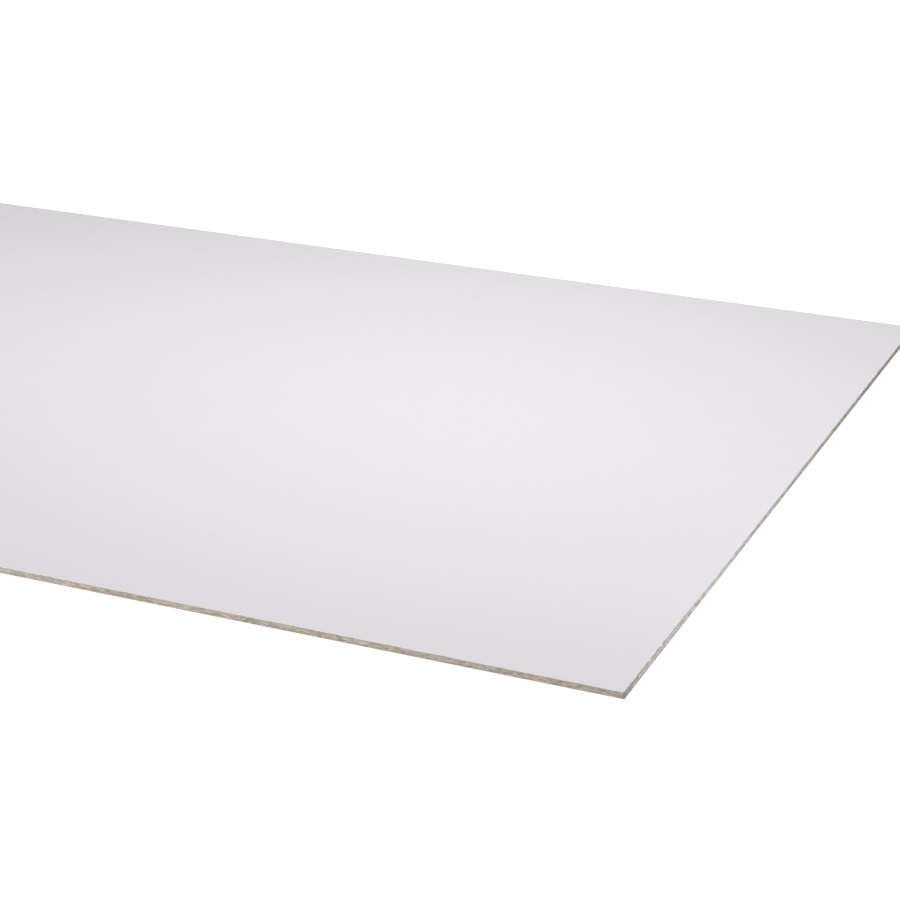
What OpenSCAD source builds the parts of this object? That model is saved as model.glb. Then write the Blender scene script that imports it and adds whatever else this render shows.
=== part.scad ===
// Door panel sheet: a thin particleboard sheet, white on one face and bare on
// the other, that is fixed over a door leaf to give it a new flat face.
// It is one piece of sawn stock, so it is one solid. It lies flat with its
// white face up. Millimetres, +Z up, with the origin at the middle of the
// underside, +X along the length and +Y along the width.

/* [Sheet] */
// Length of the sheet, the height of the door leaf it covers
sheet_length = 2015; // [600:5:3050]
// Width of the sheet, the widest door leaf it covers
sheet_width = 930; // [300:5:1250]
// Thickness of the sheet, the white coat included
sheet_thickness = 6; // [3:0.5:19]

/* [Edges] */
// Bevel on the arris round the white face, left by the panel saw
face_arris = 0.3; // [0.1:0.1:1]
// Bevel on the arris round the bare back
back_arris = 0.4; // [0.1:0.1:1]
// Radius of the four upright corners
corner_radius = 1; // [0.5:0.5:10]

/* [Hidden] */
// Facets of a corner, which is a true arc in the solid
corner_facets = 48;
// How far the blanks reach past the sheet that is cut out of them
overrun = 1;
white_face_colour = [0.93, 0.925, 0.935];

// Outline seen from above: a rectangle with its four corners rounded.
module plan() {
  inner_length = sheet_length - 2 * corner_radius;
  inner_width = sheet_width - 2 * corner_radius;
  square([sheet_length, inner_width], center = true);
  square([inner_length, sheet_width], center = true);
  for (x = [-1, 1], y = [-1, 1])
    translate([x * inner_length / 2, y * inner_width / 2])
      circle(r = corner_radius, $fn = corner_facets);
}

// Cross-section of a sheet this wide, standing on the X axis, with a bevel on
// each of its four arrises.
module section(width) {
  half = width / 2;
  top = sheet_thickness;
  polygon([
    [-half + back_arris, 0],
    [half - back_arris, 0],
    [half, back_arris],
    [half, top - face_arris],
    [half - face_arris, top],
    [-half + face_arris, top],
    [-half, top - face_arris],
    [-half, back_arris],
  ]);
}

// A bar of that section, run along Y, and longer than the sheet both ways.
module bevelled_bar(width, run) {
  rotate([90, 0, 0])
    linear_extrude(height = run + 2 * overrun, center = true)
      section(width);
}

// The sheet is what the plan and the two bevelled bars have in common.
module door_panel_sheet() {
  color(white_face_colour)
    intersection() {
      linear_extrude(height = sheet_thickness) plan();
      bevelled_bar(sheet_length, sheet_width);
      rotate([0, 0, 90]) bevelled_bar(sheet_width, sheet_length);
    }
}

door_panel_sheet();
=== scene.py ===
import math

import bpy
import numpy as np
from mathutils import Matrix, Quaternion, Vector


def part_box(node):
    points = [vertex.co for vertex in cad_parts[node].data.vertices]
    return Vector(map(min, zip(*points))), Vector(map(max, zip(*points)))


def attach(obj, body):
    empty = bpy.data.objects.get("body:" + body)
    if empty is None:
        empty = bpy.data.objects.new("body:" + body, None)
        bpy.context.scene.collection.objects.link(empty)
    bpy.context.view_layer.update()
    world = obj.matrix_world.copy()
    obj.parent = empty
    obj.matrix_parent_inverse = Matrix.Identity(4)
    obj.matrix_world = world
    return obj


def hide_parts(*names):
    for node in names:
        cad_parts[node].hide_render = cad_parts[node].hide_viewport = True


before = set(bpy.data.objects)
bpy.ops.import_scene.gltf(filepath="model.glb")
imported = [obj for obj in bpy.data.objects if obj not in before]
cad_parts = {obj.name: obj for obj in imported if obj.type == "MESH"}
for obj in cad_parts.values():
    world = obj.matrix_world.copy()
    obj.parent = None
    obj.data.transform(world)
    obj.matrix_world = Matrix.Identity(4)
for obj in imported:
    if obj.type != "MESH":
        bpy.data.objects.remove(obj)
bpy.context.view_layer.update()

# ------------------------------------------------------------------ the view
# A long lens above the near long edge. It looks across the right half of the
# sheet, down at the white face, and leaves the left end out of the picture.
sheet_low, sheet_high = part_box("door_panel_sheet")
near_right_corner = Vector((sheet_high.x, sheet_low.y, sheet_high.z))
aim_from_corner = Vector((-0.3238, 0.3996, 0))
aim = near_right_corner + aim_from_corner
view_azimuth = math.radians(23.70)
view_elevation = math.radians(22.36)
view_distance = 2.361
lens_mm = 97.87
sensor_mm = 36

scene = bpy.context.scene
camera_data = bpy.data.cameras.new("camera")
camera_data.lens = lens_mm
camera_data.sensor_width = sensor_mm
camera = bpy.data.objects.new("camera", camera_data)
towards_camera = Vector((
    math.sin(view_azimuth) * math.cos(view_elevation),
    -math.cos(view_azimuth) * math.cos(view_elevation),
    math.sin(view_elevation),
))
camera.location = aim + view_distance * towards_camera
camera.rotation_mode = "QUATERNION"
camera.rotation_quaternion = towards_camera.to_track_quat("Z", "Y")
scene.collection.objects.link(camera)
scene.camera = camera

# --------------------------------------------------- the particleboard sheet
# The board itself: wood chips and glue pressed flat in a hot press, sanded on
# the back, then cut to size on a panel saw, which leaves its four edges raw.
# The chips are coarse in the middle of the thickness and fine near the faces.
half_length = sheet_high.x
half_width = sheet_high.y
coat_thickness = 0.00015
board_top = sheet_high.z - coat_thickness
board_corner = 0.001
sharpest_corner = 1e-6

# Steps along a long and a short side, about 0.7 mm each. Both halve eight
# times, so that the flat faces can be made of ever larger pieces.
steps_along = 2816
steps_across = 1280
steps_round = 2 * (steps_along + steps_across)


def outline(inset, corner, coarseness=1):
    """Points round the sheet, this far inside its edges, and the way out at each."""
    along = steps_along // coarseness
    across = steps_across // coarseness
    x = half_length - inset
    y = half_width - inset
    rightward = np.linspace(-x, x, along, endpoint=False)
    backward = np.linspace(-y, y, across, endpoint=False)
    square = np.concatenate([
        np.column_stack([rightward, np.full(along, -y)]),
        np.column_stack([np.full(across, x), backward]),
        np.column_stack([-rightward, np.full(along, y)]),
        np.column_stack([np.full(across, -x), -backward]),
    ])
    radius = max(corner - inset, sharpest_corner)
    heart = np.clip(square, (radius - x, radius - y), (x - radius, y - radius))
    way_out = square - heart
    way_out /= np.linalg.norm(way_out, axis=1, keepdims=True)
    return heart + radius * way_out, way_out


def stretch(ring, i, count):
    """The i-th of count equal stretches of a closed ring of vertex numbers."""
    step = len(ring) // count
    return [ring[k % len(ring)] for k in range(i * step, (i + 1) * step + 1)]


def band(first, second):
    """Faces between two rings, one of which may be several times as fine."""
    count = min(len(first), len(second))
    return [
        stretch(first, i, count) + stretch(second, i, count)[::-1]
        for i in range(count)
    ]


# From its rim inwards, a flat face has rings at these insets, each with a quarter
# of the points of the one before. A plain grid fills the middle.
face_insets = (0.003, 0.012, 0.045, 0.15)
ring_thinning = 4


def flat_face(rim, height, corner, add_ring):
    """Faces that close the sheet above, inside this rim."""
    faces = []
    coarseness = 1
    for inset in face_insets:
        coarseness *= ring_thinning
        inner = add_ring(outline(inset, corner, coarseness)[0], height)
        faces += band(rim, inner)
        rim = inner
    along = steps_along // coarseness
    across = steps_across // coarseness
    x = half_length - face_insets[-1]
    y = half_width - face_insets[-1]
    near_line = rim[: along + 1]
    for row in range(1, across + 1):
        if row < across:
            inside = [(x * (2 * k / along - 1), y * (2 * row / across - 1)) for k in range(1, along)]
            far_line = [rim[-row], *add_ring(inside, height), rim[along + row]]
        else:
            far_line = rim[along + across: 2 * along + across + 1][::-1]
        faces += [
            [near_line[k], near_line[k + 1], far_line[k + 1], far_line[k]]
            for k in range(along)
        ]
        near_line = far_line
    return faces


def closed_sheet(name, section, corner, bite):
    """A closed mesh of the sheet's outline, whose faces are its sides, its under
    face and its upper face, in that order, and the three counts of them. Section
    is (inset, height) up the rim; bite is how far each rim point is cut back."""
    points = []

    def add_ring(places, height):
        start = len(points)
        points.extend((x, y, height) for x, y in places)
        return list(range(start, len(points)))

    rings = []
    for inset, height in section:
        rim, way_out = outline(inset, corner)
        rings.append(add_ring(rim - way_out * bite[:, None], height))
    sides = [face for pair in zip(rings, rings[1:]) for face in band(*pair)]
    under = [face[::-1] for face in flat_face(rings[0], section[0][1], corner, add_ring)]
    upper = flat_face(rings[-1], section[-1][1], corner, add_ring)
    mesh = bpy.data.meshes.new(name)
    mesh.from_pydata(points, [], sides + under + upper)
    return mesh, (len(sides), len(under), len(upper))


def add_bake_map(mesh, counts, section, edge_share, upper_shows):
    """The map that the finish is baked to. The long rim is cut into strips that
    fill the lower share of the square. The face that shows fills the rest, but
    for a sliver at the top for the face that is hidden."""
    margin = 0.004
    strips = 16
    strip_steps = steps_round // strips
    strip_height = edge_share / strips
    gap_share = 0.09
    gap = gap_share * strip_height
    sliver = 0.01
    sliver_filled = 0.8
    place = np.empty(len(mesh.vertices) * 3)
    mesh.vertices.foreach_get("co", place)
    loop_vertex = np.empty(len(mesh.loops), dtype=int)
    mesh.loops.foreach_get("vertex_index", loop_vertex)
    place = place.reshape(-1, 3)[loop_vertex, :2]
    spread = margin + (1 - 2 * margin) * (place / (half_length, half_width) + 1) / 2

    # How far up the rim each ring of the section lies, from 0 to 1.
    climb = np.cumsum(np.hypot(*np.diff(section, axis=0, prepend=section[:1]).T))
    climb /= climb[-1]
    step = np.arange(counts[0]) % steps_round
    row = np.arange(counts[0]) // steps_round
    along = (step[:, None] % strip_steps + (0, 1, 1, 0)) / strip_steps
    up = climb[row[:, None] + (0, 0, 1, 1)]
    strip_foot = (step // strip_steps)[:, None] * strip_height + gap
    side_uv = np.stack([
        margin + (1 - 2 * margin) * along,
        strip_foot + up * (strip_height - 2 * gap),
    ], axis=-1)

    totals = np.empty(len(mesh.polygons), dtype=int)
    mesh.polygons.foreach_get("loop_total", totals)
    kind = np.repeat(np.repeat([0, 1, 2], counts), totals)
    shown = kind == (2 if upper_shows else 1)
    hidden = kind == (1 if upper_shows else 2)
    uv = spread.copy()
    uv[kind == 0] = side_uv.reshape(-1, 2)
    uv[shown, 1] = edge_share + spread[shown, 1] * (1 - edge_share - 2 * sliver)
    uv[hidden, 1] = 1 - sliver + spread[hidden, 1] * sliver * sliver_filled
    mesh.uv_layers.new(name="OFBake").data.foreach_set("uv", uv.ravel())


# The rim's section stands upright between two arrises, which the saw leaves a
# little blunt. Each arris has one point between its ends, which is its belly.
back_arris = 0.0004
top_arris = 0.0002
belly = 0.3
upright_rows = 6
upright_low = back_arris
upright_high = board_top - 0.00035
board_section = [(back_arris, 0.0), (back_arris * belly, back_arris * belly)]
board_section += [
    (0.0, upright_low + (upright_high - upright_low) * k / upright_rows)
    for k in range(upright_rows + 1)
]
board_section += [
    (top_arris * belly, board_top - top_arris * 2 * belly),
    (top_arris, board_top),
]
board_edge_share = 0.54
no_bites = np.zeros(steps_round)
board_mesh, board_counts = closed_sheet(
    "particleboard_sheet", board_section, board_corner, no_bites
)
board = bpy.data.objects.new("particleboard_sheet", board_mesh)
scene.collection.objects.link(board)
add_bake_map(board_mesh, board_counts, board_section, board_edge_share, upper_shows=False)


def add(tree, kind, inputs=(), **settings):
    """A node of this kind with its settings, its inputs set or joined to outputs."""
    made = tree.nodes.new(kind)
    for name, value in settings.items():
        setattr(made, name, value)
    for name, value in dict(inputs).items():
        if isinstance(value, bpy.types.NodeSocket):
            tree.links.new(value, made.inputs[name])
        else:
            made.inputs[name].default_value = value
    return made


def calc(tree, operation, *values):
    """One sum on numbers."""
    return add(tree, "ShaderNodeMath", enumerate(values), operation=operation).outputs[0]


def vector_calc(tree, operation, *values):
    """One sum on vectors."""
    return add(tree, "ShaderNodeVectorMath", enumerate(values), operation=operation).outputs[0]


def mix(tree, share, first, second, kind="FLOAT"):
    """The first with the given share of the second in it."""
    a, b, out = {"FLOAT": (2, 3, 0), "VECTOR": (4, 5, 1), "RGBA": (6, 7, 2)}[kind]
    return add(tree, "ShaderNodeMix", {0: share, a: first, b: second}, data_type=kind).outputs[out]


def remap(tree, value, low, high, to_low=0.0, to_high=1.0):
    """A number's place between low and high, carried to another range."""
    return add(tree, "ShaderNodeMapRange", enumerate((value, low, high, to_low, to_high))).outputs[0]


def noise(tree, place, scale=(1, 1, 1), detail=2.0):
    """Smooth noise, with this many grains to a unit along x, y and z."""
    place = vector_calc(tree, "MULTIPLY", place, scale)
    return add(tree, "ShaderNodeTexNoise", {"Vector": place, "Scale": 1.0, "Detail": detail}).outputs[0]


def sway(tree, value, low=0.0, high=1.0):
    """Smooth noise, most of which lies between 0.3 and 0.7, carried to this range."""
    return remap(tree, value, 0.3, 0.7, low, high)


def parts(tree, vector):
    """The three parts of a vector."""
    return add(tree, "ShaderNodeSeparateXYZ", {0: vector}).outputs


def new_group(name, tree_kind, inputs, outputs):
    """A node group with named sockets: the tree, what it is given and its result."""
    tree = bpy.data.node_groups.new(name, tree_kind)
    for direction, sockets in (("INPUT", inputs), ("OUTPUT", outputs)):
        for socket_name, kind in sockets:
            tree.interface.new_socket(
                socket_name, in_out=direction, socket_type="NodeSocket" + kind
            )
    given = tree.nodes.new("NodeGroupInput").outputs
    result = tree.nodes.new("NodeGroupOutput").inputs
    return tree, given, result


def place_group(tree, group, inputs):
    """The outputs of a node group that is placed in this tree."""
    kind = tree.bl_idname.replace("NodeTree", "NodeGroup")
    return add(tree, kind, inputs, node_tree=group).outputs


def pressed_chips(tree_kind):
    """Wood chips pressed flat, cut anywhere: on an edge their ends show, on a face
    their flats. Three heaps of parallel chips lie through each other, each heap
    turned its own way, and of the chips that meet at a place one shows."""
    heap_turns = (0.2, 1.3, 2.3)
    heaps_apart = (31.7, 0, 11.3)
    bend_scale = 0.7
    bend_reach = (0.9, 0.9, 1.3)
    grain_scale = (1.2, 16.0, 11.0)
    tree, given, result = new_group(
        "pressed_chips",
        tree_kind,
        [("Place", "Vector"), ("Length", "Float"), ("Width", "Float"), ("Thickness", "Float")],
        [(name, "Float") for name in ("Tone", "Tint", "Height", "Torn", "Gap", "Grain")],
    )
    size = add(
        tree,
        "ShaderNodeCombineXYZ",
        enumerate((given["Length"], given["Width"], given["Thickness"])),
    ).outputs[0]
    chip = edge = grain = None
    for heap, turn in enumerate(heap_turns):
        turned = add(
            tree,
            "ShaderNodeVectorRotate",
            {"Vector": given["Place"], "Angle": turn},
            rotation_type="Z_AXIS",
        ).outputs[0]
        flat = vector_calc(tree, "DIVIDE", turned, size)
        bend = add(
            tree, "ShaderNodeTexNoise", {"Vector": flat, "Scale": bend_scale, "Detail": 1.0}
        ).outputs["Color"]
        bent = vector_calc(tree, "MULTIPLY_ADD", bend, bend_reach, flat)
        bent = vector_calc(tree, "ADD", bent, [apart * heap for apart in heaps_apart])
        this_chip = add(tree, "ShaderNodeTexVoronoi", {"Vector": bent, "Scale": 1.0}).outputs["Color"]
        this_edge = add(
            tree,
            "ShaderNodeTexVoronoi",
            {"Vector": bent, "Scale": 1.0},
            feature="DISTANCE_TO_EDGE",
        ).outputs["Distance"]
        this_grain = noise(tree, bent, grain_scale, 3.0)
        if heap == 0:
            chip, edge, grain = this_chip, this_edge, this_grain
            continue
        on_top = calc(tree, "GREATER_THAN", parts(tree, this_chip)[0], parts(tree, chip)[0])
        chip = mix(tree, on_top, chip, this_chip, "VECTOR")
        edge = mix(tree, on_top, edge, this_edge)
        grain = mix(tree, on_top, grain, this_grain)
    # The highest of three chips is seldom low, and the few that are have torn out.
    height, tone, tint = parts(tree, chip)
    least_height = 0.3
    torn_below = 0.36
    whole_above = 0.42
    # A gap is open in some places and pressed shut in others.
    shut_below = 0.5
    open_above = 0.72
    shut_gap = 0.004
    open_gap = 0.24
    openness = noise(tree, vector_calc(tree, "DIVIDE", given["Place"], size), detail=1.0)
    gap_width = remap(tree, openness, shut_below, open_above, shut_gap, open_gap)
    tree.links.new(tone, result["Tone"])
    tree.links.new(tint, result["Tint"])
    tree.links.new(remap(tree, height, least_height, 1.0), result["Height"])
    tree.links.new(remap(tree, height, whole_above, torn_below), result["Torn"])
    tree.links.new(remap(tree, edge, 0.0, gap_width, 1.0, 0.0), result["Gap"])
    tree.links.new(grain, result["Grain"])
    return tree


core_chip = {"Length": 0.009, "Width": 0.0045, "Thickness": 0.0010}
face_chip = {"Length": 0.004, "Width": 0.002, "Thickness": 0.0005}
back_chip = {"Length": 0.0065, "Width": 0.0024, "Thickness": 0.0005}


def core_share(tree, place):
    """0 in the fine chips near the two faces, 1 in the coarse chips between them."""
    all_fine = 0.0007
    all_coarse = 0.0014
    wander = 0.0004
    wander_scale = (120, 120, 120)
    z = parts(tree, place)[2]
    depth = calc(tree, "MINIMUM", z, calc(tree, "SUBTRACT", sheet_high.z, z))
    wandering = noise(tree, place, wander_scale)
    depth = calc(tree, "ADD", depth, sway(tree, wandering, -wander, wander))
    return remap(tree, depth, all_fine, all_coarse)


# The saw cuts the dense faces cleanly and tears at the coarse chips between them:
# there each rim point moves in by its chip's depth, and a torn chip leaves a pit.
clean_cut = 0.00005
rough_cut = 0.00025
torn_pit = 0.0004


def saw_relief():
    """A node group that moves each rim point in, against its way out."""
    tree, given, result = new_group(
        "saw_relief", "GeometryNodeTree", [("Sheet", "Geometry")], [("Sheet", "Geometry")]
    )
    place = add(tree, "GeometryNodeInputPosition").outputs[0]
    chip = place_group(tree, pressed_chips("GeometryNodeTree"), {"Place": place, **core_chip})
    way_out = add(
        tree,
        "GeometryNodeInputNamedAttribute",
        {"Name": "way_out"},
        data_type="FLOAT_VECTOR",
    ).outputs["Attribute"]
    coarse = core_share(tree, place)
    cut = mix(tree, coarse, clean_cut, rough_cut)
    depth = calc(tree, "MULTIPLY", calc(tree, "SUBTRACT", 1.0, chip["Height"]), cut)
    pit = calc(tree, "MULTIPLY", chip["Torn"], coarse)
    depth = calc(tree, "MULTIPLY_ADD", pit, torn_pit, depth)
    inward = vector_calc(tree, "MULTIPLY", way_out, calc(tree, "MULTIPLY", depth, -1.0))
    moved = add(tree, "GeometryNodeSetPosition", {"Geometry": given["Sheet"], "Offset": inward})
    tree.links.new(moved.outputs[0], result["Sheet"])
    return tree


ways_out = np.zeros((len(board_mesh.vertices), 3))
rim_points = len(board_section) * steps_round
ways_out[:rim_points, :2] = np.tile(outline(0, board_corner)[1], (len(board_section), 1))
board_mesh.attributes.new("way_out", "FLOAT_VECTOR", "POINT").data.foreach_set(
    "vector", ways_out.ravel()
)
board.modifiers.new("saw_relief", "NODES").node_group = saw_relief()
sawn = bpy.data.meshes.new_from_object(board.evaluated_get(bpy.context.evaluated_depsgraph_get()))
board.modifiers.clear()
board.data = sawn
sawn.name = "particleboard_sheet"
sawn.attributes.remove(sawn.attributes["way_out"])


def new_material(name):
    """A material, its node tree, its shader's inputs and the place on the object."""
    material = bpy.data.materials.new(name)
    material.use_nodes = True
    tree = material.node_tree
    place = add(tree, "ShaderNodeTexCoord").outputs["Object"]
    return material, tree, tree.nodes["Principled BSDF"].inputs, place


bump_strength = 0.8


def bump(tree, shader, height, distance):
    """Shades the surface as if it stood out by this height times the distance."""
    made = add(
        tree,
        "ShaderNodeBump",
        {"Height": height, "Distance": distance, "Strength": bump_strength},
    )
    tree.links.new(made.outputs[0], shader["Normal"])


def ramp(tree, value, stops):
    """Colours spread along a number from 0 to 1."""
    made = add(tree, "ShaderNodeValToRGB", {0: value})
    elements = made.color_ramp.elements
    while len(elements) < len(stops):
        elements.new(0.5)
    for element, (position, colour) in zip(elements, stops):
        element.position = position
        element.color = (*colour, 1)
    return made.outputs[0]


wood_tones = [
    (0.00, (0.28, 0.225, 0.19)),
    (0.08, (0.353, 0.298, 0.26)),
    (0.30, (0.418, 0.36, 0.32)),
    (0.65, (0.475, 0.418, 0.376)),
    (1.00, (0.562, 0.515, 0.474)),
]
olive, rose = (0.94, 1.025, 0.955), (1.065, 0.975, 0.985)
amber, ash = (1.00, 1.00, 0.895), (1.00, 1.00, 1.095)
# Painted shade: the dark brown that gaps between chips and torn pits are mixed towards.
hollow_shade_colour = (0.22, 0.165, 0.125, 1)


def wood_colour():
    """A node group that colours chips. Chips of like wood lie in drifts, some of
    them 13 mm across and some 45 mm, and each chip has a hue of its own as well."""
    drift_scale = 75.0
    drift_tone = 0.04
    broad_scale = (22, 22, 22)
    broad_tone = 0.06
    own_lean = 0.2
    own_warmth = -0.8
    tree, given, result = new_group(
        "wood_colour",
        "ShaderNodeTree",
        [("Place", "Vector"), ("Tone", "Float"), ("Tint", "Float")],
        [("Colour", "Color")],
    )
    drift = add(
        tree, "ShaderNodeTexNoise", {"Vector": given["Place"], "Scale": drift_scale, "Detail": 1.0}
    ).outputs["Color"]
    lean, warmth, lightness = parts(tree, drift)
    broad = noise(tree, given["Place"], broad_scale, 1.0)
    tone = calc(tree, "ADD", given["Tone"], sway(tree, lightness, -drift_tone, drift_tone))
    tone = calc(tree, "ADD", tone, sway(tree, broad, -broad_tone, broad_tone))
    colour = ramp(tree, tone, wood_tones)
    own = remap(tree, given["Tint"], 0.0, 1.0, -own_lean, own_lean)
    lean = calc(tree, "ADD", sway(tree, lean), own)
    warmth = calc(tree, "ADD", sway(tree, warmth), calc(tree, "MULTIPLY", own, own_warmth))
    colour = vector_calc(tree, "MULTIPLY", colour, mix(tree, lean, olive, rose, "VECTOR"))
    colour = vector_calc(tree, "MULTIPLY", colour, mix(tree, warmth, ash, amber, "VECTOR"))
    tree.links.new(colour, result["Colour"])
    return tree


chips = pressed_chips("ShaderNodeTree")
wood = wood_colour()


def sawn_edge():
    """The edges, where the ends of the chips show and the saw has left its marks."""
    grain_tone = 0.22
    hollow_shade_share = 0.5
    smoothest, roughest = 0.78, 0.95
    material, tree, shader, place = new_material("sawn_edge")
    core = place_group(tree, chips, {"Place": place, **core_chip})
    fine = place_group(tree, chips, {"Place": place, **face_chip})
    coarse = core_share(tree, place)
    tone, tint, height, torn, gap, grain = (mix(tree, coarse, fine[i], core[i]) for i in range(6))
    tone = calc(tree, "ADD", tone, sway(tree, grain, -grain_tone, grain_tone))
    colour = place_group(tree, wood, {"Place": place, "Tone": tone, "Tint": tint})["Colour"]
    # Painted shade: gaps and torn pits are mixed towards a dark brown.
    hollow_shade = calc(tree, "MULTIPLY", calc(tree, "MAXIMUM", gap, torn), hollow_shade_share)
    colour = mix(tree, hollow_shade, colour, hollow_shade_colour, "RGBA")

    # The right end is darkened with a dark grey near its two corners. The darkening is full this near
    # to a corner, and gone this far from it.
    end_corner_colour = (0.13, 0.13, 0.135, 1)
    end_corner_share = 0.55
    end_corner_full = 0.004
    end_corner_gone = 0.026
    x, y, z = parts(tree, place)
    at_the_end = remap(tree, x, half_length - 0.0015, half_length - 0.0005)
    from_corner = calc(tree, "SUBTRACT", half_width, calc(tree, "ABSOLUTE", y))
    at_the_corner = remap(tree, from_corner, end_corner_full, end_corner_gone, end_corner_share, 0.0)
    end_corner_dark = calc(tree, "MULTIPLY", at_the_end, at_the_corner)
    colour = mix(tree, end_corner_dark, colour, end_corner_colour, "RGBA")
    tree.links.new(colour, shader["Base Color"])
    tree.links.new(sway(tree, grain, smoothest, roughest), shader["Roughness"])

    # The saw's teeth leave faint slanting marks along each edge.
    tooth_pitch = 0.0031
    tooth_slant = 0.35
    tooth_height = 0.1
    grain_height = 0.8
    chip_height = 0.00015
    along = calc(tree, "MULTIPLY_ADD", z, tooth_slant, calc(tree, "ADD", x, y))
    tooth_mark = calc(tree, "SINE", calc(tree, "MULTIPLY", along, math.tau / tooth_pitch))
    relief = calc(tree, "SUBTRACT", height, gap)
    relief = calc(tree, "MULTIPLY_ADD", grain, grain_height, relief)
    relief = calc(tree, "MULTIPLY_ADD", tooth_mark, tooth_height, relief)
    bump(tree, shader, relief, chip_height)
    return material


def sanded_back():
    """The back, where fine chips lie flat, sanded along the sheet."""
    sanding_scale = (12, 1500, 1500)
    sanding_tone = 0.05
    sanding_height = 0.5
    chip_tone = 0.8
    least_tone = 0.1
    grain_tone = 0.15
    hollow_shade_share = 0.25
    hollow_depth = 0.00004
    smoothest, roughest = 0.62, 0.8
    material, tree, shader, place = new_material("sanded_back")
    flat = place_group(tree, chips, {"Place": place, **back_chip})
    sanding = noise(tree, place, sanding_scale)
    tone = calc(tree, "MULTIPLY_ADD", flat["Tone"], chip_tone, least_tone)
    tone = calc(tree, "ADD", tone, sway(tree, flat["Grain"], -grain_tone, grain_tone))
    tone = calc(tree, "ADD", tone, sway(tree, sanding, -sanding_tone, sanding_tone))
    colour = place_group(tree, wood, {"Place": place, "Tone": tone, "Tint": flat["Tint"]})["Colour"]
    # Painted shade: gaps between chips are mixed towards a dark brown.
    hollow_shade = calc(tree, "MULTIPLY", flat["Gap"], hollow_shade_share)
    colour = mix(tree, hollow_shade, colour, hollow_shade_colour, "RGBA")
    tree.links.new(colour, shader["Base Color"])
    tree.links.new(sway(tree, flat["Grain"], smoothest, roughest), shader["Roughness"])
    below = calc(tree, "MULTIPLY", flat["Gap"], -1.0)
    relief = calc(tree, "MULTIPLY_ADD", sanding, sanding_height, below)
    bump(tree, shader, relief, hollow_depth)
    return material


# The sides are sawn. The face under the film is as the back is.
board.data.materials.append(sawn_edge())
board.data.materials.append(sanded_back())
finish_numbers = np.repeat([0, 1, 1], board_counts)
board.data.polygons.foreach_set("material_index", finish_numbers.astype(np.int32))
smooth_below = math.radians(35)
board.data.shade_smooth()
board.data.set_sharp_from_angle(angle=smooth_below)
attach(board, "root")
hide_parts("door_panel_sheet")

# ------------------------------------------------------------ the white coat
# A white film, as thin as stout paper, pressed onto the upper face before the
# sheet was cut. The saw went through both and nicked the film along the rim,
# and wear has chipped it back at the right end, near the front corner.
coat_corner = 0.0025
ragged = 0.00006
nicks = 260
nick_reach = (1, 5)
nick_depth = (0.0001, 0.0005)
rng = np.random.default_rng(5)
bite = rng.uniform(0, ragged, steps_round)


def nick(middle, reach, depth):
    """A round bite out of the film, at this rim point and this many each way."""
    for k in range(-int(reach), int(reach) + 1):
        i = (middle + k) % steps_round
        bite[i] = max(bite[i], depth * math.sqrt(1 - (k / reach) ** 2))


for _ in range(nicks):
    nick(rng.integers(steps_round), rng.uniform(*nick_reach), rng.uniform(*nick_depth))

# The chips begin at the front corner and grow shallow as they leave it behind.
chips_there = 150
chipped_steps = 300
fading_steps = 120
chip_reach = (1.5, 7)
chip_depth = (0.0004, 0.0014)
for _ in range(chips_there):
    from_corner = rng.integers(chipped_steps)
    fade = min(1, (chipped_steps - from_corner) / fading_steps)
    nick(steps_along + from_corner, rng.uniform(*chip_reach), rng.uniform(*chip_depth) * fade)

# The film's section, as (inset, height): its rim leans in a little at the top.
coat_section = [
    (0.00006, board_top - 0.00003),
    (0.00004, sheet_high.z - 0.00005),
    (0.0001, sheet_high.z),
]
coat_edge_share = 0.1
coat_mesh, coat_counts = closed_sheet("white_coat", coat_section, coat_corner, bite)
coat = bpy.data.objects.new("white_coat", coat_mesh)
scene.collection.objects.link(coat)
add_bake_map(coat_mesh, coat_counts, coat_section, coat_edge_share, upper_shows=True)


def satin_film():
    """A satin white, faintly clouded. The film shows the chips under it as an
    unevenness, 3 mm from crest to crest, and the press plate has left a stipple
    on it, 0.4 mm from crest to crest."""
    white = (0.84, 0.815, 0.845, 1)
    shade = (0.83, 0.805, 0.835, 1)
    cloud_scale = (45, 45, 45)
    speck_scale = (900, 900, 900)
    uneven_scale = (330, 330, 330)
    stipple_scale = (2400, 2400, 2400)
    shaded_below, white_above = 0.35, 0.65
    smoothest, roughest = 0.39, 0.44
    uneven_height = 0.000016
    stipple_height = 0.25
    material, tree, shader, place = new_material("white_coat")
    cloud = noise(tree, place, cloud_scale, 3.0)
    speck = noise(tree, place, speck_scale, 1.0)
    cloud = calc(tree, "MULTIPLY_ADD", speck, 0.5, calc(tree, "MULTIPLY", cloud, 0.5))
    whiteness = remap(tree, cloud, shaded_below, white_above)
    roughness = remap(tree, cloud, shaded_below, white_above, roughest, smoothest)
    tree.links.new(mix(tree, whiteness, shade, white, "RGBA"), shader["Base Color"])
    tree.links.new(roughness, shader["Roughness"])
    uneven = noise(tree, place, uneven_scale, 1.0)
    stipple = noise(tree, place, stipple_scale, 1.0)
    relief = calc(tree, "MULTIPLY_ADD", stipple, stipple_height, uneven)
    bump(tree, shader, relief, uneven_height)
    return material


coat_mesh.materials.append(satin_film())
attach(coat, "root")

# ------------------------------------------------- the floor and the lights
# The sheet lies on a white studio floor. Two softboxes hang over its face, and
# four low ones stand round it and light its edges.
floor_reach = 12.0
floor_drop = 0.0002
floor_corners = ((-1, -1), (1, -1), (1, 1), (-1, 1))
floor_mesh = bpy.data.meshes.new("studio_floor")
floor_mesh.from_pydata(
    [(floor_reach * x, floor_reach * y, -floor_drop) for x, y in floor_corners],
    [],
    [(0, 1, 2, 3)],
)
floor = bpy.data.objects.new("studio_floor", floor_mesh)
scene.collection.objects.link(floor)


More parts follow.
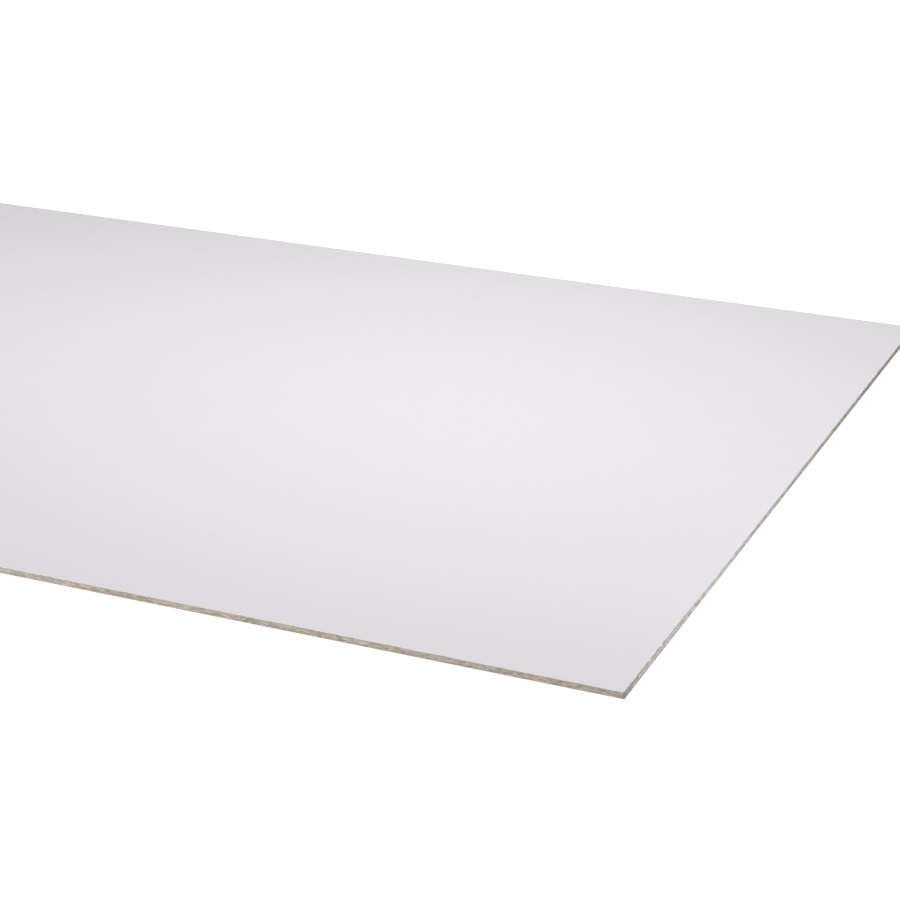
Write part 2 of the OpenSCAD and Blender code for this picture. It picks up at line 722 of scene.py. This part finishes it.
def seen_directly(tree):
    """1 for what the camera sees, also by reflection or through glass, else 0."""
    paths = add(tree, "ShaderNodeLightPath").outputs
    seen = calc(tree, "MAXIMUM", paths["Is Camera Ray"], paths["Is Glossy Ray"])
    return calc(tree, "MAXIMUM", seen, paths["Is Transmission Ray"])


# The floor glows to the eye alone, so that it looks white and lights nothing.
floor_glow = 0.82
floor_material, tree, shader, _ = new_material("studio_floor")
shader["Base Color"].default_value = (0.8, 0.8, 0.8, 1)
shader["Roughness"].default_value = 0.9
shader["Specular IOR Level"].default_value = 0.0
shader["Emission Color"].default_value = (1, 1, 1, 1)
tree.links.new(calc(tree, "MULTIPLY", seen_directly(tree), floor_glow), shader["Emission Strength"])
floor_mesh.materials.append(floor_material)

# The room is white to the eye, and gives the sheet a plain, even light.
ambient = 0.28
world = bpy.data.worlds.new("studio")
scene.world = world
world.use_nodes = True
tree = world.node_tree
tree.nodes.clear()
strength = mix(tree, seen_directly(tree), ambient, 1.0)
light = add(tree, "ShaderNodeBackground", {"Color": (1, 1, 1, 1), "Strength": strength})
add(tree, "ShaderNodeOutputWorld", {"Surface": light.outputs[0]})


def softbox(name, place, target, size, power, turn=0.0):
    """A soft lamp of this size in metres, which the camera doesn't see."""
    lamp_data = bpy.data.lights.new(name, "AREA")
    lamp_data.shape = "RECTANGLE"
    lamp_data.size, lamp_data.size_y = size
    lamp_data.energy = power
    lamp = bpy.data.objects.new(name, lamp_data)
    lamp.location = place
    towards = (Vector(place) - Vector(target)).to_track_quat("Z", "Y")
    lamp.rotation_mode = "QUATERNION"
    lamp.rotation_quaternion = towards @ Quaternion((0, 0, 1), turn)
    lamp.visible_camera = False
    scene.collection.objects.link(lamp)
    return lamp


# Two hang over the face and look straight down, the stronger one over its right
# half. Each has its place, its size, its power and its turn about the vertical.
hanging_lamps = (
    ("overhead_softbox", (0.69, 0.04, 1.09), (1.1, 0.64), 9.35, -0.27),
    ("left_overhead_softbox", (-0.72, -0.11, 0.8), (0.3, 0.6), 2.9, 0.0),
)
for name, place, size, power, turn in hanging_lamps:
    softbox(name, place, (place[0], place[1], 0), size, power, turn)

# Four stand on the floor and light the sheet's edges, hardly touching its face.
# Each has its place, what it faces, its length, its power and its colour: the one
# at the right end is a little cooler than the rest.
lamp_height = 0.035
lamp_depth = 0.05
neutral, cool = (1.0, 1.0, 1.0), (0.82, 0.92, 1.0)
low_lamps = (
    ("front_softbox", (0.06, -1.9), (0.5, -0.465), 0.6, 18.3, neutral),
    ("right_softbox", (1.46, -0.32), (1.0, 0.1), 0.4, 2.4, cool),
    ("back_softbox", (0.0, 1.9), (0.0, 0.465), 0.6, 18.3, neutral),
    ("left_softbox", (-2.2, 0.0), (-1.0, 0.0), 0.4, 8.5, neutral),
)
for name, place, target, length, power, colour in low_lamps:
    lamp = softbox(name, (*place, lamp_height), (*target, 0), (length, lamp_depth), power)
    lamp.data.color = colour
    lamp.visible_glossy = False

scene.view_settings.view_transform = "Standard"
